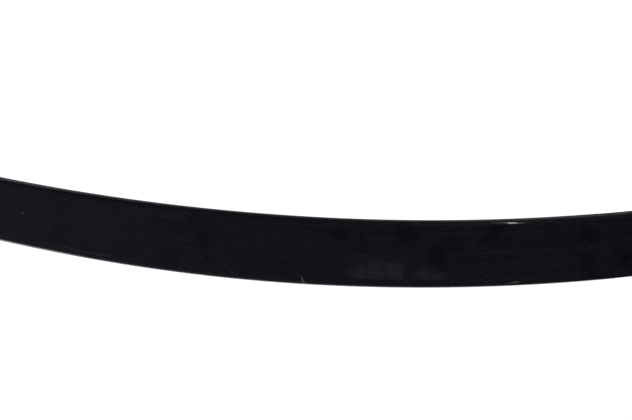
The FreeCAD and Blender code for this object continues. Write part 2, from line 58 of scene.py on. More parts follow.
KNEE = Vector(next(j["pos_m"] for j in frame["joints"] if j["name"] == "knee_flexion"))
BLADE_LOW, BLADE_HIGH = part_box("blade")
SHELL_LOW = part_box("socket_shell")[0]
VALVE_LOW, VALVE_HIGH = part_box("valve_body")

# ---------------------------------------------------------------- blade's driving dimensions

BLADE_TOP_STRAIGHT = 80 * MM
BLADE_ARCS = ((140 * MM, 28.0), (371 * MM, -23.0), (100 * MM, -79.0), (260 * MM, -27.0))
BLADE_T_TOP, BLADE_T_BOW, BLADE_T_TOE = 8.7 * MM, 12.0 * MM, 6.0 * MM
BLADE_THICKEST_AT = 215.7 * MM
BLADE_TAPER_DOWN = 270 * MM
BLADE_W_TOP, BLADE_W_TOE = 56 * MM, 72 * MM
BLADE_WIDEN_FROM, BLADE_WIDEN_TO = 285 * MM, 450 * MM
BLADE_EDGE_R = 0.5 * MM
TOE_CORNER_R = 24 * MM
BLADE_TOP = Vector((0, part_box("rear_clamp_plate")[0].y - BLADE_T_TOP / 2, BLADE_HIGH.z))
MIDSOLE_T, TREAD_T, BOND = 5.0 * MM, 4.0 * MM, 0.05 * MM
SOLE_OVERHANG = 1.0 * MM
SOLE_START_HEADING, TREAD_START_HEADING = -50.0, -62.0
SOLE_SHORT_OF_TOE = 1 * MM
STATION_PITCH = 2 * MM       # spacing of the cross-sections along the blade and sole

# ---------------------------------------------------------------- socket's driving dimensions

SOCKET_LENGTH = 306 * MM
SHELL_T, INNER_T = 4.0 * MM, 2.5 * MM
INNER_PROUD = 9 * MM
DOME_R, DOME_H = 50 * MM, 56 * MM
SOCKET_SQUARENESS = 2.35
SHELL_FLOOR, SHELL_CAVITY, LINER_CAVITY = 1.8 * MM, 6.5 * MM, 9.5 * MM
SOCKET_END_Z = SHELL_LOW.z - SHELL_FLOOR
FAIRING_R, FAIRING_TOP_R, FAIRING_H = 32 * MM, 46 * MM, 30 * MM
WIDEN_ACROSS, WIDEN_DEEP = 21 * MM, 29 * MM      # growth of the half axes from dome to brim
BRIM_FLARE, BRIM_FLARE_FROM = 5 * MM, 0.8
BRIM_FALL, BRIM_FALL_HALF = 35 * MM, 80 * MM
VALVE_FLANGE_T, VALVE_BORE_R = 3 * MM, 13.05 * MM
VALVE_PAD_R, VALVE_PAD_BLEND_R = 18 * MM, 25 * MM

# ---------------------------------------------------------------- mesh helpers


def smooth_step(a, b, x):
    """0 below a, 1 above b, and a smooth rise between."""
    t = min(max((x - a) / (b - a), 0.0), 1.0)
    return t * t * (3 - 2 * t)


def cosine_ramp(a, b, t):
    """Half a cosine wave from a at t=0 to b at t=1, flat outside."""
    t = min(max(t, 0.0), 1.0)
    return a + (b - a) * (1 - math.cos(math.pi * t)) / 2


def mesh_object(name, vertices, faces, lay=None):
    """A smooth-shaded mesh object; lay holds one vector per vertex for the materials to read."""
    mesh = bpy.data.meshes.new(name)
    mesh.from_pydata(vertices, [], faces)
    if lay:
        attribute = mesh.attributes.new("lay", "FLOAT_VECTOR", "POINT")
        attribute.data.foreach_set("vector", [c for v in lay for c in v])
    mesh.polygons.foreach_set("use_smooth", [True] * len(mesh.polygons))
    mesh.update()
    piece = bpy.data.objects.new(name, mesh)
    bpy.context.scene.collection.objects.link(piece)
    return piece


def grid_faces(rows, columns, wrap):
    """Quads between rows of points; wrap joins the last column to the first."""
    faces = []
    for i in range(rows - 1):
        for j in range(columns if wrap else columns - 1):
            k = (j + 1) % columns
            low, high = i * columns, (i + 1) * columns
            faces.append((low + j, low + k, high + k, high + j))
    return faces


def apply_modifiers(piece):
    depsgraph = bpy.context.evaluated_depsgraph_get()
    mesh = bpy.data.meshes.new_from_object(piece.evaluated_get(depsgraph))
    piece.modifiers.clear()
    piece.data = mesh


def cut(piece, tools):
    """Subtracts the tool objects from the piece and removes them."""
    for tool in tools:
        modifier = piece.modifiers.new("cut", "BOOLEAN")
        modifier.object = tool
        modifier.operation = "DIFFERENCE"
        modifier.solver = "EXACT"
    apply_modifiers(piece)
    for tool in tools:
        bpy.data.objects.remove(tool)


def cylinder(name, start, end, radius, sides=64):
    """A closed cylinder object between two points."""
    start, end = Vector(start), Vector(end)
    axis = (end - start).normalized()
    side = axis.orthogonal().normalized()
    other = axis.cross(side)
    points = []
    for centre in (start, end):
        for i in range(sides):
            a = 2 * math.pi * i / sides
            points.append(centre + (side * math.cos(a) + other * math.sin(a)) * radius)
    faces = grid_faces(2, sides, True)
    faces += [tuple(reversed(range(sides))), tuple(range(sides, 2 * sides))]
    return mesh_object(name, points, faces)


def join(piece, other):
    """Adds the other object's mesh to the piece and removes the other object."""
    mesh = bmesh.new()
    mesh.from_mesh(piece.data)
    mesh.from_mesh(other.data)
    mesh.to_mesh(piece.data)
    mesh.free()
    bpy.data.objects.remove(other)


def flat_shaded_above(piece, degrees):
    """Smooth shading, broken where two faces meet at more than this angle."""
    piece.data.set_sharp_from_angle(angle=math.radians(degrees))


def outward(piece):
    mesh = bmesh.new()
    mesh.from_mesh(piece.data)
    bmesh.ops.recalc_face_normals(mesh, faces=mesh.faces)
    mesh.to_mesh(piece.data)
    mesh.free()


def stand_for(piece, node, body):
    """The piece rides on a body and stands for a CAD node, which is hidden."""
    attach(piece, body)
    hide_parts(node)


# ---------------------------------------------------------------- blade centre line

SEGMENTS = [(BLADE_TOP_STRAIGHT, 0.0)] + [
    (abs(math.radians(turn)) * radius, math.copysign(1 / radius, turn)) for radius, turn in BLADE_ARCS]
BLADE_LENGTH = sum(length for length, _ in SEGMENTS)


def blade_path(s):
    """Centre line at arc length s from the top: place, and heading from straight down in radians."""
    y, z, heading = 0.0, 0.0, 0.0
    for length, bend in SEGMENTS:
        step = min(s, length)
        if bend:
            turned = heading + bend * step
            y += (math.cos(heading) - math.cos(turned)) / bend
            z -= (math.sin(turned) - math.sin(heading)) / bend
            heading = turned
        else:
            y += math.sin(heading) * step
            z -= math.cos(heading) * step
        s -= step
    return BLADE_TOP + Vector((0, y, z)), heading


def blade_thickness(s):
    if s < BLADE_THICKEST_AT:
        rise = BLADE_THICKEST_AT - BLADE_TOP_STRAIGHT
        return cosine_ramp(BLADE_T_TOP, BLADE_T_BOW, (s - BLADE_TOP_STRAIGHT) / rise)
    return cosine_ramp(BLADE_T_BOW, BLADE_T_TOE, (s - BLADE_THICKEST_AT) / BLADE_TAPER_DOWN)


def blade_half_width(s):
    widen = (s - BLADE_WIDEN_FROM) / (BLADE_WIDEN_TO - BLADE_WIDEN_FROM)
    half = cosine_ramp(BLADE_W_TOP, BLADE_W_TOE, widen) / 2
    past = s - (BLADE_LENGTH - TOE_CORNER_R)
    if past > 0:
        half -= TOE_CORNER_R - math.sqrt(max(TOE_CORNER_R ** 2 - past ** 2, 0.0))
    return half


def blade_point(s, x, out):
    centre, heading = blade_path(s)
    return centre + Vector((x, out * math.cos(heading), out * math.sin(heading)))


def rounded_section(half, inner, outer, corner, corner_steps, flat_steps):
    """Closed outline of (x, out) points: a rectangle with rounded corners."""
    corner = min(corner, half * 0.9, (outer - inner) * 0.49)
    centres = [(half - corner, inner + corner, -90), (half - corner, outer - corner, 0),
               (corner - half, outer - corner, 90), (corner - half, inner + corner, 180)]
    points = []
    for i, (cx, co, start) in enumerate(centres):
        for k in range(corner_steps + 1):
            a = math.radians(start + 90 * k / corner_steps)
            points.append((cx + corner * math.cos(a), co + corner * math.sin(a)))
        nx, no, turned = centres[(i + 1) % 4]
        a = math.radians(turned)
        end = (nx + corner * math.cos(a), no + corner * math.sin(a))
        begin = points[-1]
        for k in range(1, flat_steps):
            t = k / flat_steps
            points.append((begin[0] + (end[0] - begin[0]) * t, begin[1] + (end[1] - begin[1]) * t))
    return points


def blade_stations(start, end, pitch):
    """Arc lengths from start to end, closing up where the toe's corners round off."""
    toe_from = BLADE_LENGTH - TOE_CORNER_R
    body_to = min(end, toe_from)
    count = max(2, round((body_to - start) / pitch))
    stations = [start + (body_to - start) * i / count for i in range(count + 1)]
    if end > toe_from:
        steps = 24
        stations += [toe_from + (end - toe_from) * math.sin(math.pi / 2 * i / steps)
                     for i in range(1, steps + 1)]
    return stations


def blade_strip(name, stations, inner, outer, half_width, corner, side=lambda depth: 0.0):
    """A closed strip along the blade; lay is (arc length, sideways, 0 inside to 1 outside).

    side gives how far the strip's sides stand out at each depth.
    """
    points, lay = [], []
    for s in stations:
        low, high, half = inner(s), outer(s), half_width(s)
        outline = rounded_section(half, low, high, corner, 6, 12)
        for x, out in outline:
            depth = (out - low) / (high - low)
            points.append(blade_point(s, x + side(depth) * x / half, out))
            lay.append((s, x, depth))
    columns = len(outline)
    faces = grid_faces(len(stations), columns, True)
    last = (len(stations) - 1) * columns
    faces += [tuple(reversed(range(columns))), tuple(range(last, last + columns))]
    piece = mesh_object(name, points, faces, lay)
    outward(piece)
    return piece


def make_blade():
    """The J-shaped laminate with its four bolt holes."""
    piece = blade_strip("running_blade", blade_stations(0.0, BLADE_LENGTH, STATION_PITCH),
                        lambda s: -blade_thickness(s) / 2, lambda s: blade_thickness(s) / 2,
                        blade_half_width, BLADE_EDGE_R)
    bolts_low, bolts_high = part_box("blade_bolts")
    head_r, hole_r, drill_reach = 6.5 * MM, 4.25 * MM, 20 * MM
    front, back = BLADE_TOP.y - drill_reach, BLADE_TOP.y + drill_reach
    holes = []
    for x in (bolts_low.x + head_r, bolts_high.x - head_r):
        for z in (bolts_low.z + head_r, bolts_high.z - head_r):
            holes.append(cylinder("hole", (x, front, z), (x, back, z), hole_r))
    cut(piece, holes)
    flat_shaded_above(piece, 28)
    stand_for(piece, "blade", "foot")
    return piece


def at_heading(degrees):
    """Arc length where the lower part of the blade reaches this heading."""
    s, heading = SEGMENTS[0][0] + SEGMENTS[1][0], math.radians(BLADE_ARCS[0][1])
    for length, bend in SEGMENTS[2:]:
        left = (math.radians(degrees) - heading) / bend
        if left <= length + 1e-9:
            return s + left
        s, heading = s + length, heading + bend * length
    raise ValueError(degrees)


def sole_half_width(s):
    return blade_half_width(s) + SOLE_OVERHANG / 2


def make_midsole():
    """Foam layer under the blade: its sides swell a little and carry one moulded groove."""
    swell, groove, groove_width = SOLE_OVERHANG / 2, 0.35 * MM, 0.06
    edge_r = 1.2 * MM

    def side(depth):
        return swell * math.sin(math.pi * depth) - groove * math.exp(-((depth - 0.5) / groove_width) ** 2)

    start, end = at_heading(SOLE_START_HEADING), BLADE_LENGTH - SOLE_SHORT_OF_TOE
    piece = blade_strip("midsole_foam", blade_stations(start, end, STATION_PITCH),
                        lambda s: blade_thickness(s) / 2 + BOND,
                        lambda s: blade_thickness(s) / 2 + BOND + MIDSOLE_T, sole_half_width, edge_r, side)
    stand_for(piece, "midsole", "foot")
    return piece


def lug(s, x, lean, low, high):
    """One tread block: a leaning four-sided block with a bevelled top, as points and faces."""
    half_s, half_x, bevel, draft = 3.6 * MM, 4.3 * MM, 0.5 * MM, 0.25 * MM
    rings = ((low, 0.0), (high - bevel, draft), (high, draft + bevel))
    points = []
    for out, inset in rings:
        for side_s, side_x in ((-1, -1), (-1, 1), (1, 1), (1, -1)):
            across = side_x * (half_x - inset)
            along = side_s * (half_s - inset) + lean * across
            points.append(blade_point(s + along, x + across, blade_thickness(s + along) / 2 + out))
    faces = grid_faces(3, 4, True) + [(0, 1, 2, 3), (8, 9, 10, 11)]
    return points, faces


def make_tread():
    """Rubber sheet with rows of leaning blocks, flat where it meets the ground."""
    below = MIDSOLE_T + 2 * BOND
    sheet_t, row_pitch, column_pitch, slant = 1.8 * MM, 9.6 * MM, 11.0 * MM, 0.35
    first_row, margin, sunk, edge_r = 7 * MM, 8 * MM, 0.3 * MM, 0.6 * MM
    toe_look, toe_room = 5 * MM, 2 * MM
    start, end = at_heading(TREAD_START_HEADING), BLADE_LENGTH - SOLE_SHORT_OF_TOE
    piece = blade_strip("tread_rubber", blade_stations(start, end, STATION_PITCH),
                        lambda s: blade_thickness(s) / 2 + below,
                        lambda s: blade_thickness(s) / 2 + below + sheet_t, sole_half_width, edge_r)
    rows = int((end - start - margin) / row_pitch)
    points, faces = [], []
    for row in range(rows):
        s = start + first_row + row * row_pitch
        widest = min(blade_half_width(s) + SOLE_OVERHANG, blade_half_width(s + toe_look) + toe_room)
        for column in range(-3, 4):
            x = column * column_pitch
            if abs(x) + column_pitch / 2 < widest:
                lean = slant if (row + column) % 2 else -slant
                block, sides = lug(s, x, lean, below + sheet_t - sunk, below + TREAD_T)
                faces += [tuple(len(points) + i for i in side) for side in sides]
                points += block
    blocks = mesh_object("blocks", points, faces)
    outward(blocks)
    join(piece, blocks)
    ground = 0.02 * MM
    for vertex in piece.data.vertices:
        vertex.co.z = max(vertex.co.z, ground)
    flat_shaded_above(piece, 40)
    stand_for(piece, "tread", "foot")
    return piece


# ---------------------------------------------------------------- socket


def socket_half_axes(h, inset):
    """Half width across and half depth front to back, h above the closed end."""
    fill = min(h / DOME_H, 1.0)
    base = DOME_R * math.sqrt(max(1 - (1 - fill) ** 2, 0.0))
    rise = h / SOCKET_LENGTH
    flare = BRIM_FLARE * max(rise - BRIM_FLARE_FROM, 0.0) / (1 - BRIM_FLARE_FROM)
    return base + WIDEN_ACROSS * rise + flare - inset, base + WIDEN_DEEP * rise + flare - inset


def socket_radius(a, h, inset):
    across, deep = socket_half_axes(h, inset)
    power = SOCKET_SQUARENESS
    return (abs(math.cos(a) / across) ** power + abs(math.sin(a) / deep) ** power) ** (-1 / power)


def brim_height(a, above):
    """Height of the brim above the socket's end: high on the outer side, low on the inner side."""
    x = socket_radius(a, SOCKET_LENGTH, 0.0) * math.cos(a)
    return SOCKET_LENGTH + above - BRIM_FALL * smooth_step(-BRIM_FALL_HALF, BRIM_FALL_HALF, x)


def cup_profile(a, inset, wall, floor_h, cavity_h, brim, rows):
    """(radius, height) up the outside, over the rounded rim and down the inside, at angle a."""
    dome_out, wall_out, rim, wall_in, dome_in = rows
    lip = wall / 2
    profile = []
    start = math.acos(1 - floor_h / DOME_H)
    for i in range(dome_out):
        h = DOME_H * (1 - math.cos(start + (math.pi / 2 - start) * i / dome_out))
        profile.append((socket_radius(a, h, inset), h))
    for i in range(wall_out):
        h = DOME_H + (brim - lip - DOME_H) * i / wall_out
        profile.append((socket_radius(a, h, inset), h))
    for i in range(rim + 1):
        turn = math.pi * i / rim
        h = brim - lip + lip * math.sin(turn)
        profile.append((socket_radius(a, h, inset + lip - lip * math.cos(turn)), h))
    for i in range(1, wall_in + 1):
        h = brim - lip + (DOME_H - brim + lip) * i / wall_in
        profile.append((socket_radius(a, h, inset + wall), h))
    start = math.acos(1 - cavity_h / DOME_H)
    for i in range(1, dome_in + 1):
        h = DOME_H * (1 - math.cos(start + (math.pi / 2 - start) * (1 - i / dome_in)))
        profile.append((socket_radius(a, h, inset + wall), h))
    return profile


def make_cup(name, inset, wall, floor_h, cavity_h, above, rows, reshape=lambda point, a, h: point):
    """A closed cup in the socket's form; reshape moves the points of its outside."""
    around = 240
    columns = []
    outside = rows[0] + rows[1]
    for j in range(around):
        a = 2 * math.pi * j / around
        profile = cup_profile(a, inset, wall, floor_h, cavity_h, brim_height(a, above), rows)
        column = []
        for i, (r, h) in enumerate(profile):
            point = Vector((r * math.cos(a), KNEE.y + r * math.sin(a), SOCKET_END_Z + h))
            column.append(reshape(point, a, h) if i < outside else point)
        columns.append(column)
    count = len(columns[0])
    points = [columns[j][i] for i in range(count) for j in range(around)]
    faces = grid_faces(count, around, True)
    for ring, height in ((0, floor_h), (count - 1, cavity_h)):
        points.append(Vector((0, KNEE.y, SOCKET_END_Z + height)))
        centre = len(points) - 1
        faces += [(ring * around + j, ring * around + (j + 1) % around, centre) for j in range(around)]
    piece = mesh_object(name, points, faces)
    outward(piece)
    return piece


def shell_outside(point, a, h):
    """Adds the conical fairing at the end plate and the flat pad round the valve."""
    climb = min(max((h - SHELL_FLOOR) / FAIRING_H, 0.0), 1.0)
    fairing = FAIRING_R + (FAIRING_TOP_R - FAIRING_R) * climb
    r = math.hypot(point.x, point.y - KNEE.y)
    soft = 1.5 * MM
    r = (r + fairing + math.sqrt((r - fairing) ** 2 + soft ** 2)) / 2
    point = Vector((r * math.cos(a), KNEE.y + r * math.sin(a), point.z))
    pad_x = VALVE_LOW.x + VALVE_FLANGE_T
    valve_z = (VALVE_LOW.z + VALVE_HIGH.z) / 2
    off = math.hypot(point.y - KNEE.y, point.z - valve_z)
    if pad_x < point.x < 0:
        point.x += (pad_x - point.x) * (1 - smooth_step(VALVE_PAD_R, VALVE_PAD_BLEND_R, off))
    return point


def valve_bore():
    valve_z = (VALVE_LOW.z + VALVE_HIGH.z) / 2
    start = Vector((VALVE_LOW.x - 20 * MM, KNEE.y, valve_z))
    return cylinder("bore", start, start + Vector((60 * MM, 0, 0)), VALVE_BORE_R, 96)


def make_socket():
    """The rigid carbon shell and the flexible inner socket that stands proud of its brim."""
    shell = make_cup("socket_laminate", 0.0, SHELL_T, SHELL_FLOOR, SHELL_CAVITY, 0.0,
                     (36, 104, 8, 40, 12), shell_outside)
    cut(shell, [valve_bore()])
    stand_for(shell, "socket_shell", "thigh")
    liner = make_cup("flexible_socket", SHELL_T, INNER_T, SHELL_CAVITY, LINER_CAVITY, INNER_PROUD,
                     (10, 40, 8, 90, 28))
    cut(liner, [valve_bore()])
    stand_for(liner, "inner_socket", "thigh")
    return shell, liner


# ---------------------------------------------------------------- material graph


class Surface:
    """A Principled material with short calls for the nodes that the finishes below share."""

    def __init__(self, name):
        self.material = bpy.data.materials.new(name)
        self.material.use_nodes = True
        self.tree = self.material.node_tree
        self.tree.nodes.clear()
        self.shader = self.add("ShaderNodeBsdfPrincipled")
        output = self.add("ShaderNodeOutputMaterial")
        self.tree.links.new(self.shader.outputs["BSDF"], output.inputs["Surface"])
        self.place = self.add("ShaderNodeTexCoord").outputs["Object"]

    def add(self, kind, **settings):
        node = self.tree.nodes.new(kind)
        for key, value in settings.items():
            setattr(node, key, value)
        return node

    def put(self, socket, value):
        if isinstance(value, bpy.types.NodeSocket):
            self.tree.links.new(value, socket)
        elif isinstance(value, tuple) and len(value) == 3 and socket.type == "RGBA":
            socket.default_value = (*value, 1.0)
        else:
            socket.default_value = value

    def set(self, **inputs):
        """Shader inputs by name, with underscores for spaces."""
        for key, value in inputs.items():
            self.put(self.shader.inputs[key.replace("_", " ")], value)

    def math(self, operation, a, b=0.0, c=0.0, clamp=False):
        node = self.add("ShaderNodeMath", operation=operation, use_clamp=clamp)
        for socket, value in zip(node.inputs, (a, b, c)):
            self.put(socket, value)
        return node.outputs[0]

    def length(self, a, b):
        """Distance from the origin of the point (a, b)."""
        squares = self.math("ADD", self.math("MULTIPLY", a, a), self.math("MULTIPLY", b, b))
        return self.math("SQRT", squares)

    def range(self, value, a, b, low=0.0, high=1.0, smooth=True):
        """Maps value from a..b to low..high, clamped."""
        kind = "SMOOTHSTEP" if smooth else "LINEAR"
        node = self.add("ShaderNodeMapRange", interpolation_type=kind)
        for socket, number in zip(node.inputs, (value, a, b, low, high)):
            self.put(socket, number)
        return node.outputs[0]

    def stretch(self, vector, scale):
        """The vector times a scale per axis."""
        node = self.add("ShaderNodeVectorMath", operation="MULTIPLY")
        self.put(node.inputs[0], vector)
        node.inputs[1].default_value = scale
        return node.outputs[0]

    def attribute(self, name):
        return self.add("ShaderNodeAttribute", attribute_name=name).outputs["Vector"]

    def split(self, vector):
        node = self.add("ShaderNodeSeparateXYZ")
        self.put(node.inputs[0], vector)
        return node.outputs[0], node.outputs[1], node.outputs[2]

    def join(self, x, y, z=0.0):
        node = self.add("ShaderNodeCombineXYZ")
        for socket, value in zip(node.inputs, (x, y, z)):
            self.put(socket, value)
        return node.outputs[0]

    def noise(self, vector, scale, detail=3.0, roughness=0.5):
        node = self.add("ShaderNodeTexNoise")
        self.put(node.inputs["Vector"], vector)
        node.inputs["Scale"].default_value = scale
        node.inputs["Detail"].default_value = detail
        node.inputs["Roughness"].default_value = roughness
        return node.outputs[0]

    def cells(self, vector, scale, feature="F1", randomness=1.0):
        node = self.add("ShaderNodeTexVoronoi", feature=feature)
        self.put(node.inputs["Vector"], vector)
        node.inputs["Scale"].default_value = scale
        node.inputs["Randomness"].default_value = randomness
        return node

    def mix(self, factor, a, b):
        """Colour a where factor is 0 and b where it is 1."""
        node = self.add("ShaderNodeMix", data_type="RGBA")
        self.put(node.inputs[0], factor)
        self.put(node.inputs[6], a)
        self.put(node.inputs[7], b)
        return node.outputs[2]

    def blend(self, factor, a, b):
        """Number a where factor is 0 and b where it is 1."""
        node = self.add("ShaderNodeMix", data_type="FLOAT")
        self.put(node.inputs[0], factor)
        self.put(node.inputs[2], a)
        self.put(node.inputs[3], b)
        return node.outputs[0]

    def bump(self, height, distance, normal=None):
        """Normal from a height of 0 to 1, distance metres deep."""
        node = self.add("ShaderNodeBump")
        self.put(node.inputs["Height"], height)
        node.inputs["Strength"].default_value = 1.0
        node.inputs["Distance"].default_value = distance
        if normal is not None:
            self.put(node.inputs["Normal"], normal)
        return node.outputs[0]

    def edges(self, radius):
        """Normal with its edges rounded off, and a mask that is 1 along sharp edges."""
        bevel = self.add("ShaderNodeBevel", samples=6)
        bevel.inputs["Radius"].default_value = radius
        flat = self.add("ShaderNodeNewGeometry").outputs["Normal"]
        dot = self.add("ShaderNodeVectorMath", operation="DOT_PRODUCT")
        self.put(dot.inputs[0], bevel.outputs[0])
        self.put(dot.inputs[1], flat)
        mask = self.range(dot.outputs["Value"], 0.995, 0.86)
        return bevel.outputs[0], mask


# ---------------------------------------------------------------- finishes


def dust(m, scale, share):
    """1 on a few tiny specks; share is the part of the cells that hold one."""
    grid = m.cells(m.place, scale)
    chosen = m.math("GREATER_THAN", m.split(grid.outputs["Color"])[0], 1 - share)
    return m.math("MULTIPLY", m.range(grid.outputs["Distance"], 0.14, 0.05), chosen)


def weave(m, p, q):
    """2x2 twill of tows one unit wide along p and q: height, which tow is on top, and fibre streaks."""
    step = m.math("ADD", m.math("FLOOR", p), m.math("FLOOR", q))
    over = m.math("LESS_THAN", m.math("FLOORED_MODULO", step, 4.0), 2.0)
    crown_p = m.math("SINE", m.math("MULTIPLY", m.math("FRACT", p), math.pi))
    crown_q = m.math("SINE", m.math("MULTIPLY", m.math("FRACT", q), math.pi))
    height = m.math("POWER", m.blend(over, crown_q, crown_p), 0.6)
    fibre_p = m.noise(m.join(m.math("MULTIPLY", p, 9.0), m.math("MULTIPLY", q, 0.35)), 1.0, 2.0)
    fibre_q = m.noise(m.join(m.math("MULTIPLY", p, 0.35), m.math("MULTIPLY", q, 9.0)), 1.0, 2.0)
    return height, over, m.blend(over, fibre_q, fibre_p)


# Chip (a tail and a wedge), nick, scratch and speck on the outer side. Each mark is its start and end,
# as (arc length, distance from the inner face), its half width at both, and its strength.
BLADE_MARKS = (
    ((212.3 * MM, 10.2 * MM), (213.5 * MM, 10.75 * MM), (0.06 * MM, 0.09 * MM), 0.25),
    ((213.4 * MM, 10.7 * MM), (213.9 * MM, 12.0 * MM), (0.08 * MM, 0.38 * MM), 0.5),
    ((201.1 * MM, 10.5 * MM), (201.3 * MM, 11.2 * MM), (0.09 * MM, 0.09 * MM), 0.2),
    ((167.9 * MM, 10.65 * MM), (179.0 * MM, 10.95 * MM), (0.06 * MM, 0.13 * MM), 0.12),
    ((163.0 * MM, 5.8 * MM), (163.35 * MM, 5.8 * MM), (0.13 * MM, 0.13 * MM), 0.6),
)


def line_mark(m, s, out, start, end, half_width):
    """1 on a straight mark between two places, each (arc length, distance from the inner face)."""
    length = math.hypot(end[0] - start[0], end[1] - start[1])
    ds, do = (end[0] - start[0]) / length, (end[1] - start[1]) / length
    from_s, from_out = m.math("SUBTRACT", s, start[0]), m.math("SUBTRACT", out, start[1])
    run = m.math("ADD", m.math("MULTIPLY", from_s, ds), m.math("MULTIPLY", from_out, do))
    aside = m.math("SUBTRACT", m.math("MULTIPLY", from_s, do), m.math("MULTIPLY", from_out, ds))
    off = m.math("ABSOLUTE", aside)
    reach = m.range(run, 0.0, length, *half_width, smooth=False)
    inside = m.math("MULTIPLY", m.math("GREATER_THAN", run, 0.0), m.math("LESS_THAN", run, length))
    return m.math("MULTIPLY", m.range(m.math("DIVIDE", off, reach), 1.0, 0.5), inside)


MARK_COLOUR = (0.16, 0.17, 0.20)
PLY_DARK, PLY_LIGHT = (0.0010, 0.0012, 0.0030), (0.0066, 0.0070, 0.0098)
STREAK_COLOUR, STREAKS = (0.0078, 0.0083, 0.0110), 30.0
# The edge colour is painted shade: a dark line along the rounded edges of the cut sides.
PATCH_COLOUR, EDGE_SHADE_COLOUR = (0.0004, 0.0005, 0.0016), (0.0004, 0.0005, 0.0010)
# Painted sheen: the cut side is painted paler towards the upper end of the bow.
PAINTED_SHEEN_COLOUR, PAINTED_SHEEN_FROM, PAINTED_SHEEN_FULL = (0.0085, 0.0088, 0.0115), 205 * MM, 165 * MM
BLADE_TOW, SOCKET_TOW, TOWS_AROUND = 2.2 * MM, 3.0 * MM, 94


def cut_plies(m, along, across, depth, cloud):
    """Colour of the blade's cut sides: grain, streaks, dark patches, painted shade along the edges, a painted
    paler sheen towards the upper end, and marks.
    """
    streak_place = m.join(m.math("MULTIPLY", along, STREAKS), 0.0, m.math("MULTIPLY", depth, STREAKS))
    streak = m.noise(streak_place, 1.0, 4.0, 0.6)
    grain = m.noise(m.place, 3000.0, 2.0, 0.6)
    plies = m.mix(m.range(grain, 0.37, 0.63), PLY_DARK, PLY_LIGHT)
    plies = m.mix(m.range(streak, 0.42, 0.62, 0.0, 0.8), plies, STREAK_COLOUR)
    plies = m.mix(m.range(cloud, 0.48, 0.32, 0.0, 0.85), plies, PATCH_COLOUR)
    # Painted sheen: paler towards the upper end, as if lit more there.
    plies = m.mix(m.range(along, PAINTED_SHEEN_FROM, PAINTED_SHEEN_FULL, 0.0, 0.5), plies, PAINTED_SHEEN_COLOUR)
    # Painted shade: darkens the side along its rounded edges, where the dark surroundings would show.
    painted_edge_shade = m.range(m.math("ABSOLUTE", m.math("SUBTRACT", depth, 0.5)), 0.435, 0.455)
    plies = m.mix(m.math("MULTIPLY", painted_edge_shade, 0.7), plies, EDGE_SHADE_COLOUR)
    out = m.math("MULTIPLY", depth, BLADE_T_BOW)
    outer_side = m.math("LESS_THAN", across, 0.0)
    for start, end, half_width, strength in BLADE_MARKS:
        mark = m.math("MULTIPLY", line_mark(m, along, out, start, end, half_width), outer_side)
        plies = m.mix(m.math("MULTIPLY", mark, strength), plies, MARK_COLOUR)
    return plies


def carbon_blade():
    """Laminate: near-black cut plies on the sides, satin-coated twill on the faces, a little dust."""
    m = Surface("carbon_blade")
    along, across, depth = m.split(m.attribute("lay"))
    sideways = m.math("ABSOLUTE", m.split(m.add("ShaderNodeTexCoord").outputs["Normal"])[0])
    side = m.range(sideways, 0.45, 0.7)
    cloud = m.noise(m.place, 170.0, 3.0, 0.5)
    plies = cut_plies(m, along, across, depth, cloud)

    p = m.math("MULTIPLY", m.math("ADD", along, across), DIAGONAL / BLADE_TOW)
    q = m.math("MULTIPLY", m.math("SUBTRACT", along, across), DIAGONAL / BLADE_TOW)
    height, over, hair = weave(m, p, q)
    # Painted sheen: the two tow directions get a darker and a lighter tone, standing in for the light each
    # direction catches.
    cloth = m.mix(over, (0.008, 0.0083, 0.010), (0.015, 0.0155, 0.0175))
    cloth = m.mix(m.range(hair, 0.3, 0.7, 0.0, 0.5), cloth, (0.026, 0.027, 0.030))
    cloth = m.mix(m.range(height, 0.5, 0.0, 0.0, 0.8), cloth, (0.003, 0.003, 0.0035))

    fine_dust = m.math("MULTIPLY", dust(m, 900.0, 0.45), m.math("MULTIPLY", side, 0.28))
    speck = m.math("MAXIMUM", fine_dust, dust(m, 300.0, 0.06))
    shade = m.mix(side, cloth, plies)
    shade = m.mix(m.math("MULTIPLY", speck, 0.6), shade, MARK_COLOUR)
    m.set(Base_Color=shade, IOR=1.5, Coat_Weight=0.9, Coat_Roughness=0.14)
    m.set(Roughness=m.blend(side, m.range(hair, 0.3, 0.7, 0.30, 0.42), 0.02))
    relief = m.blend(side, m.math("MULTIPLY", height, 4.0), m.math("MULTIPLY", cloud, 0.14))
    m.set(Normal=m.bump(relief, 0.02 * MM))
    return m.material


def carbon_laminate():
    """Braided carbon sleeve under clear resin, laid at 45 degrees round the socket."""
    m = Surface("carbon_laminate")
    x, y, z = m.split(m.place)
    turn = m.math("ARCTAN2", m.math("SUBTRACT", y, KNEE.y), x)
    round_socket = m.math("MULTIPLY", turn, TOWS_AROUND / (2 * math.pi))
    up = m.math("MULTIPLY", z, DIAGONAL / SOCKET_TOW)
    height, over, hair = weave(m, m.math("ADD", round_socket, up), m.math("SUBTRACT", round_socket, up))
    # Painted sheen: the two tow directions get a darker and a lighter tone, standing in for the light each
    # direction catches.
    cloth = m.mix(over, (0.034, 0.035, 0.039), (0.050, 0.051, 0.056))
    cloth = m.mix(m.range(hair, 0.3, 0.7, 0.0, 0.5), cloth, (0.085, 0.087, 0.095))
    cloth = m.mix(m.range(height, 0.55, 0.0, 0.0, 0.85), cloth, (0.006, 0.006, 0.007))
    drift = m.noise(m.place, 9.0, 3.0)
    cloth = m.mix(m.range(drift, 0.35, 0.7, 0.0, 0.25), cloth, (0.030, 0.030, 0.033))
    cloth = m.mix(m.math("MULTIPLY", dust(m, 220.0, 0.03), 0.5), cloth, (0.3, 0.3, 0.3))
    scuff = m.noise(m.stretch(m.place, (60.0, 60.0, 14.0)), 1.0, 6.0, 0.7)
    m.set(Base_Color=cloth, Metallic=0.7, IOR=1.5, Coat_Weight=1.0, Coat_Roughness=0.04)
    m.set(Roughness=m.range(scuff, 0.3, 0.75, 0.30, 0.44))
    m.set(Normal=m.bump(height, 0.22 * MM))
    return m.material


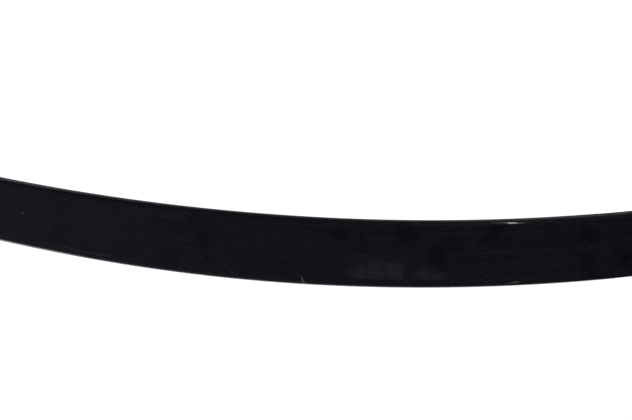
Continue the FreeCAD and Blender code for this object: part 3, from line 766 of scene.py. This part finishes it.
def moulded(name, colour, light, roughness, grain_mm, depth_mm, edge_mm=0.3):
    """Moulded polymer or rubber: fine cast grain, faint mottling, and edges rubbed lighter."""
    m = Surface(name)
    grain = m.cells(m.place, 1000.0 / grain_mm, "SMOOTH_F1").outputs["Distance"]
    cloud = m.noise(m.place, 60.0, 5.0, 0.6)
    normal, worn = m.edges(edge_mm * MM)
    mottled = tuple(c * 0.55 + l * 0.45 for c, l in zip(colour, light))
    shade = m.mix(m.range(cloud, 0.3, 0.75), colour, mottled)
    shade = m.mix(m.math("MULTIPLY", worn, m.range(cloud, 0.35, 0.65, 0.2, 0.8)), shade, light)
    shade = m.mix(m.math("MULTIPLY", dust(m, 260.0, 0.04), 0.3), shade, (0.25, 0.24, 0.22))
    m.set(Base_Color=shade)
    m.set(Roughness=m.range(cloud, 0.25, 0.75, roughness - 0.07, roughness + 0.08))
    m.set(Normal=m.bump(grain, depth_mm * MM, normal))
    return m.material


def flexible_inner():
    """Smooth vacuum-formed inner socket with faint flow ripples and a little dust."""
    m = Surface("flexible_inner")
    ripple = m.noise(m.stretch(m.place, (30.0, 30.0, 6.0)), 1.0, 3.0)
    fine = m.noise(m.place, 700.0, 3.0)
    shade = m.mix(m.range(ripple, 0.3, 0.7), (0.115, 0.125, 0.14), (0.16, 0.17, 0.185))
    shade = m.mix(m.math("MULTIPLY", dust(m, 180.0, 0.03), 0.4), shade, (0.3, 0.3, 0.3))
    m.set(Base_Color=shade, Subsurface_Weight=0.12, Subsurface_Scale=0.002)
    m.set(Roughness=m.range(fine, 0.3, 0.7, 0.30, 0.40))
    height = m.math("ADD", m.math("MULTIPLY", ripple, 6.0), m.math("MULTIPLY", fine, 0.3))
    m.set(Normal=m.bump(height, 0.05 * MM))
    return m.material


def foam():
    """Closed-cell midsole foam: fine pores, slight creases and a dusty lower edge."""
    m = Surface("midsole_foam")
    pores = m.cells(m.place, 1500.0).outputs["Distance"]
    crease = m.noise(m.place, 120.0, 6.0, 0.65)
    depth = m.split(m.attribute("lay"))[2]
    shade = m.mix(m.range(crease, 0.3, 0.7), (0.030, 0.031, 0.033), (0.052, 0.053, 0.056))
    dirt = m.math("MULTIPLY", m.range(depth, 0.55, 1.0, 0.0, 0.45), m.range(crease, 0.4, 0.6))
    shade = m.mix(dirt, shade, (0.13, 0.115, 0.095))
    m.set(Base_Color=shade, Roughness=m.range(crease, 0.2, 0.8, 0.72, 0.88))
    m.set(Normal=m.bump(m.math("ADD", pores, m.math("MULTIPLY", crease, 1.5)), 0.12 * MM))
    return m.material


DIAL_TURN = 270              # degrees


def dial_scale(m, joint, turn):
    """1 on printed ticks round a dial, over the angle in degrees that the dial turns through."""
    centre = next(j["pos_m"] for j in frame["joints"] if j["name"] == joint)
    ticks, ring_low, ring_high, tick_width = 9, 7.7 * MM, 9.1 * MM, 0.28 * MM
    x, y, z = m.split(m.place)
    from_y, from_z = m.math("SUBTRACT", y, centre[1]), m.math("SUBTRACT", z, centre[2])
    reach = m.length(from_y, from_z)
    angle = m.math("ARCTAN2", from_y, from_z)
    pitch = math.radians(turn) / (ticks - 1)
    step = m.math("ROUND", m.math("DIVIDE", angle, pitch))
    off = m.math("ABSOLUTE", m.math("SUBTRACT", angle, m.math("MULTIPLY", step, pitch)))
    line = m.math("LESS_THAN", m.math("MULTIPLY", off, reach), tick_width / 2)
    used = m.math("LESS_THAN", m.math("ABSOLUTE", step), ticks / 2)
    past_low, before_high = m.math("GREATER_THAN", reach, ring_low), m.math("LESS_THAN", reach, ring_high)
    ring = m.math("MULTIPLY", past_low, before_high)
    outer_face = m.math("LESS_THAN", x, centre[0] + 2 * MM)
    return m.math("MULTIPLY", m.math("MULTIPLY", line, used), m.math("MULTIPLY", ring, outer_face))


def machined(name, colour, roughness, stroke, worn_colour, wear, metallic=1.0, dials=()):
    """Bead-blasted or brushed metal; stroke is the brush marks' frequency along each axis."""
    m = Surface(name)
    brush = m.noise(m.stretch(m.place, stroke), 1.0, 4.0, 0.6)
    cloud = m.noise(m.place, 45.0, 4.0, 0.6)
    normal, edge = m.edges(0.35 * MM)
    shade = m.mix(m.range(cloud, 0.3, 0.75), colour, tuple(c * 0.78 for c in colour))
    shade = m.mix(m.range(brush, 0.3, 0.75, 0.0, 0.2), shade, tuple(min(c * 1.4, 1.0) for c in colour))
    patchy = m.noise(m.place, 160.0, 5.0, 0.7)
    rubbed = m.math("MULTIPLY", edge, m.range(patchy, 0.62 - wear, 0.78 - wear))
    shade = m.mix(rubbed, shade, worn_colour)
    for dial in dials:
        shade = m.mix(dial_scale(m, dial, DIAL_TURN), shade, (0.02, 0.02, 0.02))
    m.set(Base_Color=shade, Metallic=metallic)
    rough = m.range(brush, 0.2, 0.8, roughness - 0.05, roughness + 0.05)
    m.set(Roughness=m.math("ADD", rough, m.range(cloud, 0.3, 0.8, -0.04, 0.07)))
    m.set(Normal=m.bump(brush, 0.006 * MM, normal))
    return m.material


def turned(name, colour, roughness):
    """Lathe-turned titanium or steel: fine rings about the upright axis through the knee."""
    m = Surface(name)
    x, y, z = m.split(m.place)
    y = m.math("SUBTRACT", y, KNEE.y)
    tool_marks = 2800.0
    reach = m.math("MULTIPLY", m.length(x, y), tool_marks)
    ring = m.noise(m.join(reach, m.math("MULTIPLY", z, tool_marks)), 1.0, 3.0)
    cloud = m.noise(m.place, 70.0, 4.0, 0.6)
    normal, edge = m.edges(0.3 * MM)
    shade = m.mix(m.range(cloud, 0.3, 0.7), colour, tuple(c * 0.8 for c in colour))
    shade = m.mix(m.math("MULTIPLY", edge, 0.5), shade, tuple(min(c * 1.6, 1.0) for c in colour))
    m.set(Base_Color=shade, Metallic=1.0)
    m.set(Roughness=m.range(ring, 0.2, 0.8, roughness - 0.06, roughness + 0.08))
    m.set(Normal=m.bump(ring, 0.012 * MM, normal))
    return m.material


BRUSH_UP = (1900.0, 1900.0, 60.0)
BRUSH_ACROSS = (60.0, 1900.0, 1900.0)
BLASTED = (1500.0, 1500.0, 1500.0)
GREY_WEAR = (0.36, 0.36, 0.37)
DIAL_METALLIC = 0.85

FINISHES = {
    "carbon_laminate": carbon_laminate,
    "carbon_blade": carbon_blade,
    "flexible_inner": flexible_inner,
    "valve_plastic": lambda: moulded("valve_plastic", (0.022, 0.022, 0.024), (0.07, 0.07, 0.073),
                                     0.42, 0.7, 0.03),
    "valve_button": lambda: moulded("valve_button", (0.42, 0.035, 0.025), (0.6, 0.14, 0.1),
                                    0.38, 0.9, 0.02),
    "dark_aluminium": lambda: machined("dark_aluminium", (0.050, 0.052, 0.057), 0.40, BLASTED,
                                       GREY_WEAR, 0.10),
    "silver_aluminium": lambda: machined("silver_aluminium", (0.46, 0.47, 0.49), 0.36, BRUSH_UP,
                                         (0.75, 0.75, 0.76), 0.14,
                                         dials=("extension_dial_turn", "flexion_dial_turn")),
    "titanium": lambda: turned("titanium", (0.43, 0.40, 0.36), 0.30),
    "steel": lambda: machined("steel", (0.20, 0.20, 0.21), 0.30, BRUSH_ACROSS, (0.55, 0.55, 0.56), 0.16),
    "rubber": lambda: moulded("rubber", (0.014, 0.014, 0.015), (0.045, 0.044, 0.042), 0.72, 0.5, 0.05),
    "midsole_foam": foam,
    "bumper_polymer": lambda: moulded("bumper_polymer", (0.09, 0.05, 0.015), (0.2, 0.13, 0.06),
                                      0.45, 0.8, 0.02),
    "bearing_polymer": lambda: moulded("bearing_polymer", (0.6, 0.55, 0.42), (0.75, 0.7, 0.6),
                                       0.42, 0.6, 0.02),
    "dial_red": lambda: machined("dial_red", (0.40, 0.018, 0.014), 0.30, BRUSH_ACROSS,
                                 (0.75, 0.6, 0.58), 0.12, DIAL_METALLIC),
    "dial_blue": lambda: machined("dial_blue", (0.012, 0.055, 0.32), 0.30, BRUSH_ACROSS,
                                  (0.6, 0.65, 0.75), 0.12, DIAL_METALLIC),
}


def dress_nodes(materials):
    """Gives every CAD node the finish of its slot."""
    for part in frame["record"]["subparts"]:
        mesh = NODES[part["node"]].data
        mesh.materials.clear()
        mesh.materials.append(materials[part["material_slot"]])


# ---------------------------------------------------------------- studio


def area_light(name, place, target, width, height, watts):
    data = bpy.data.lights.new(name, "AREA")
    data.energy = watts
    data.shape = "RECTANGLE"
    data.size = width
    data.size_y = height
    lamp = bpy.data.objects.new(name, data)
    lamp.visible_camera = False
    lamp.location = place
    lamp.rotation_mode = "QUATERNION"
    lamp.rotation_quaternion = (Vector(target) - Vector(place)).to_track_quat("-Z", "Y")
    bpy.context.scene.collection.objects.link(lamp)
    return lamp


def make_floor():
    """A pale floor that fades into the white backdrop away from the leg."""
    rings, sides, radius = 3, 96, 3.0
    points = [(0, 0, 0)]
    for i in range(1, rings + 1):
        for j in range(sides):
            a = 2 * math.pi * j / sides
            points.append((radius * i / rings * math.cos(a), radius * i / rings * math.sin(a), 0))
    faces = [(0, 1 + j, 1 + (j + 1) % sides) for j in range(sides)]
    for i in range(rings - 1):
        low, high = 1 + i * sides, 1 + (i + 1) * sides
        for j in range(sides):
            k = (j + 1) % sides
            faces.append((low + j, high + j, high + k, low + k))
    floor = mesh_object("floor", points, faces)
    m = Surface("floor")
    x, y, _ = m.split(m.place)
    away = m.length(x, y)
    seen = m.add("ShaderNodeLightPath").outputs["Is Camera Ray"]
    bounced = m.mix(m.range(away, 0.2, 0.9), (0.35, 0.35, 0.35), (0.02, 0.02, 0.02))
    m.set(Base_Color=m.mix(seen, bounced, (0.92, 0.92, 0.92)), Roughness=0.8)
    m.shader.inputs["Specular IOR Level"].default_value = 0.1
    m.set(Emission_Color=(1, 1, 1))
    m.set(Emission_Strength=m.math("MULTIPLY", m.range(away, 0.45, 1.3, 0.15, 1.1), seen))
    floor.data.materials.append(m.material)


def make_world():
    """White to the camera; to the object a dim room that brightens overhead."""
    world = bpy.data.worlds.new("studio")
    bpy.context.scene.world = world
    world.use_nodes = True
    tree = world.node_tree
    tree.nodes.clear()
    output = tree.nodes.new("ShaderNodeOutputWorld")
    direction = tree.nodes.new("ShaderNodeTexCoord")
    split = tree.nodes.new("ShaderNodeSeparateXYZ")
    tree.links.new(direction.outputs["Generated"], split.inputs[0])
    lift = tree.nodes.new("ShaderNodeMapRange")
    tree.links.new(split.outputs[2], lift.inputs[0])
    level, overhead, dim, bright = 0.0, 0.9, 0.05, 0.6
    for socket, value in zip(list(lift.inputs)[1:5], (level, overhead, dim, bright)):
        socket.default_value = value
    room = tree.nodes.new("ShaderNodeBackground")
    room.inputs["Color"].default_value = (0.80, 0.89, 1.10, 1.0)
    tree.links.new(lift.outputs[0], room.inputs["Strength"])
    backdrop = tree.nodes.new("ShaderNodeBackground")
    backdrop.inputs["Color"].default_value = (1.0, 1.0, 1.0, 1.0)
    backdrop.inputs["Strength"].default_value = 1.05
    seen = tree.nodes.new("ShaderNodeLightPath")
    choose = tree.nodes.new("ShaderNodeMixShader")
    tree.links.new(seen.outputs["Is Camera Ray"], choose.inputs[0])
    tree.links.new(room.outputs[0], choose.inputs[1])
    tree.links.new(backdrop.outputs[0], choose.inputs[2])
    tree.links.new(choose.outputs[0], output.inputs["Surface"])


# Name, place, target, width and height in metres, watts
LAMPS = (
    ("key", (-1.3, -1.4, 0.9), KNEE, 0.5, 1.6, 20),
    ("fill", (1.6, -1.1, 0.9), KNEE, 0.7, 1.6, 13),
    ("rim", (1.0, 1.6, 0.95), KNEE, 0.7, 1.7, 16),
    ("edge", (-0.3, 2.0, 2.0), KNEE, 0.5, 1.4, 14),
    ("top", (0, 0, 2.6), (0, 0, 0), 1.6, 1.6, 20),
)


def make_studio():
    make_world()
    make_floor()
    for lamp in LAMPS:
        area_light(*lamp)
    bpy.context.scene.view_settings.view_transform = "Standard"


# ---------------------------------------------------------------- camera

LENS, SENSOR = 300.0, 36.0
VIEW_WIDTH = 112.2 * MM      # stretch of the blade that fills the picture's width
CAMERA_AWAY = VIEW_WIDTH * LENS / SENSOR
LEVEL_AT = 236.0 * MM        # arc length where the blade runs level across the picture
VIEW_AHEAD = 7.3 * MM        # the picture's centre is this far ahead of the blade's centre line


def square_on(s):
    """Right, up and back of a view of the blade's outer side in which it runs level at arc length s."""
    heading = blade_path(s)[1]
    right = Vector((0, math.sin(heading), -math.cos(heading)))
    up = Vector((0, -math.cos(heading), -math.sin(heading)))
    return right, up, right.cross(up)


def make_camera():
    """Square on to the outer cut edge of the blade's bow, turned so that the blade runs across."""
    centre = blade_path(BLADE_THICKEST_AT)[0]
    right, up, back = square_on(LEVEL_AT)
    face = Vector((BLADE_LOW.x + (BLADE_W_TOE - BLADE_W_TOP) / 2, centre.y, centre.z))
    data = bpy.data.cameras.new("camera")
    data.lens, data.sensor_width = LENS, SENSOR
    data.clip_start, data.clip_end = 0.01, 50.0
    data.dof.use_dof = False
    camera = bpy.data.objects.new("camera", data)
    camera.rotation_mode = "QUATERNION"
    camera.rotation_quaternion = Matrix((right, up, back)).transposed().to_quaternion()
    camera.location = face + up * VIEW_AHEAD + back * CAMERA_AWAY
    bpy.context.scene.collection.objects.link(camera)
    bpy.context.scene.camera = camera
    return camera


REFLECTED_AWAY = 1.9         # metres from the blade's side to the lights that it mirrors
WINDOW_SILL = -12.7 * MM     # above the picture's centre, as mirrored in the blade's side
# Each pane's distance right of the picture's centre, width and height, in mm
WINDOW_PANES = ((6.5, 0.9, 2.6), (8.0, 1.5, 3.4), (10.6, 2.8, 3.6), (14.0, 2.9, 3.3), (19.3, 2.0, 2.5),
                (21.7, 1.8, 1.6))
WINDOW_RADIANCE = 0.17
# Two thin strips that make the glints: their reach away from the edge, then arc length and brightness
STRIP_NEAR, STRIP_FAR, STRIP_WIDTH = 56 * MM, 260 * MM, 0.7 * MM
TOP_GLINT, TOP_GLINT_RADIANCE = 251.5 * MM, 14.0
BOTTOM_GLINT, BOTTOM_GLINT_RADIANCE = 251.3 * MM, 1.6


def mirrored_light(camera, point, s, low, high, width, radiance):
    """A small light behind the camera, sized and placed by its mirror image in the blade's side.

    The image is as wide as given at a point of the side, and runs from low to high above it,
    where above is towards the inner face at arc length s.
    """
    right, up, back = square_on(s)
    share = REFLECTED_AWAY / CAMERA_AWAY
    across = point - camera.location
    across -= back * across.dot(back)
    place = point + across * share + back * REFLECTED_AWAY + up * (low + high) / 2 * (1 + share)
    width, height = width * (1 + share), (high - low) * (1 + share)
    lamp = area_light("pane", place, point, width, height, radiance * math.pi * width * height)
    lamp.rotation_quaternion = Matrix((right, up, back)).transposed().to_quaternion()


def make_reflections(camera):
    """A dim barred window, and two thin strips that the blade's rounded edges catch."""
    right, up, back = camera.rotation_quaternion.to_matrix().col
    sill = camera.location - back * CAMERA_AWAY + up * WINDOW_SILL
    for ahead, width, height in WINDOW_PANES:
        foot = sill + right * ahead * MM
        mirrored_light(camera, foot, LEVEL_AT, 0.0, height * MM, width * MM, WINDOW_RADIANCE)
    edge = BLADE_T_BOW / 2 - BLADE_EDGE_R
    strips = ((TOP_GLINT, -edge, STRIP_NEAR, STRIP_FAR, TOP_GLINT_RADIANCE),
              (BOTTOM_GLINT, edge, -STRIP_FAR, -STRIP_NEAR, BOTTOM_GLINT_RADIANCE))
    for s, out, low, high, radiance in strips:
        point = blade_point(s, -blade_half_width(s), out)
        mirrored_light(camera, point, s, low, high, STRIP_WIDTH, radiance)


# ---------------------------------------------------------------- the leg


def main():
    make_studio()
    make_reflections(make_camera())
    materials = {slot: build() for slot, build in FINISHES.items()}
    dress_nodes(materials)
    shell, liner = make_socket()
    for piece, finish in ((make_blade(), "carbon_blade"), (make_midsole(), "midsole_foam"),
                          (make_tread(), "rubber"), (shell, "carbon_laminate"), (liner, "flexible_inner")):
        piece.data.materials.clear()
        piece.data.materials.append(materials[finish])


main()
